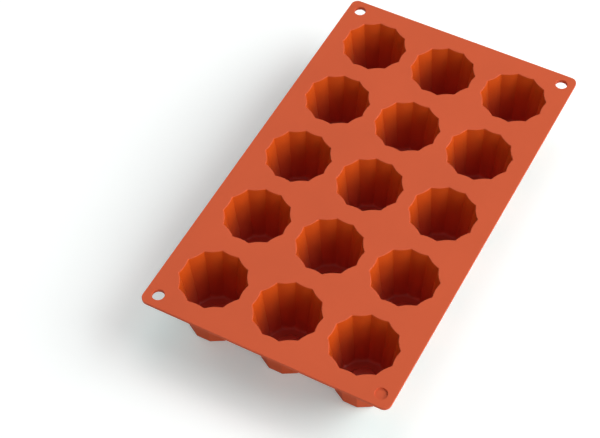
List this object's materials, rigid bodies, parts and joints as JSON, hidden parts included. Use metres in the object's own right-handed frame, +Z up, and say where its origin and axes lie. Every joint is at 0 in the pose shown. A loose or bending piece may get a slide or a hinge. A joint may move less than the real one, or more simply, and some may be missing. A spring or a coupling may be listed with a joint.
{
  "type": "silicone baking mould",
  "caption": "Flexible silicone baking mould: a flat rectangular sheet carrying a grid of deep, tapered, fluted round cups with raised floor discs, with hanging holes at its corners.",
  "frame": {"origin": "on the surface that the cups stand on, below the middle of the sheet", "axes": "+Z up, out of the cups' mouths; +Y along the sheet's long side; +X across it, with the blind corner recess at +X, -Y"},
  "size_m": [0.175, 0.3, 0.045],
  "materials": {
    "silicone": "satin moulded silicone, terracotta orange all through"
  },
  "bodies": {
    "root": {"top_sheet": "silicone", "cup_r1_c1": "silicone", "cup_r1_c2": "silicone", "cup_r1_c3": "silicone", "cup_r2_c1": "silicone", "cup_r2_c2": "silicone", "cup_r2_c3": "silicone", "cup_r3_c1": "silicone", "cup_r3_c2": "silicone", "cup_r3_c3": "silicone", "cup_r4_c1": "silicone", "cup_r4_c2": "silicone", "cup_r4_c3": "silicone", "cup_r5_c1": "silicone", "cup_r5_c2": "silicone", "cup_r5_c3": "silicone"}
  },
  "joints": []
}
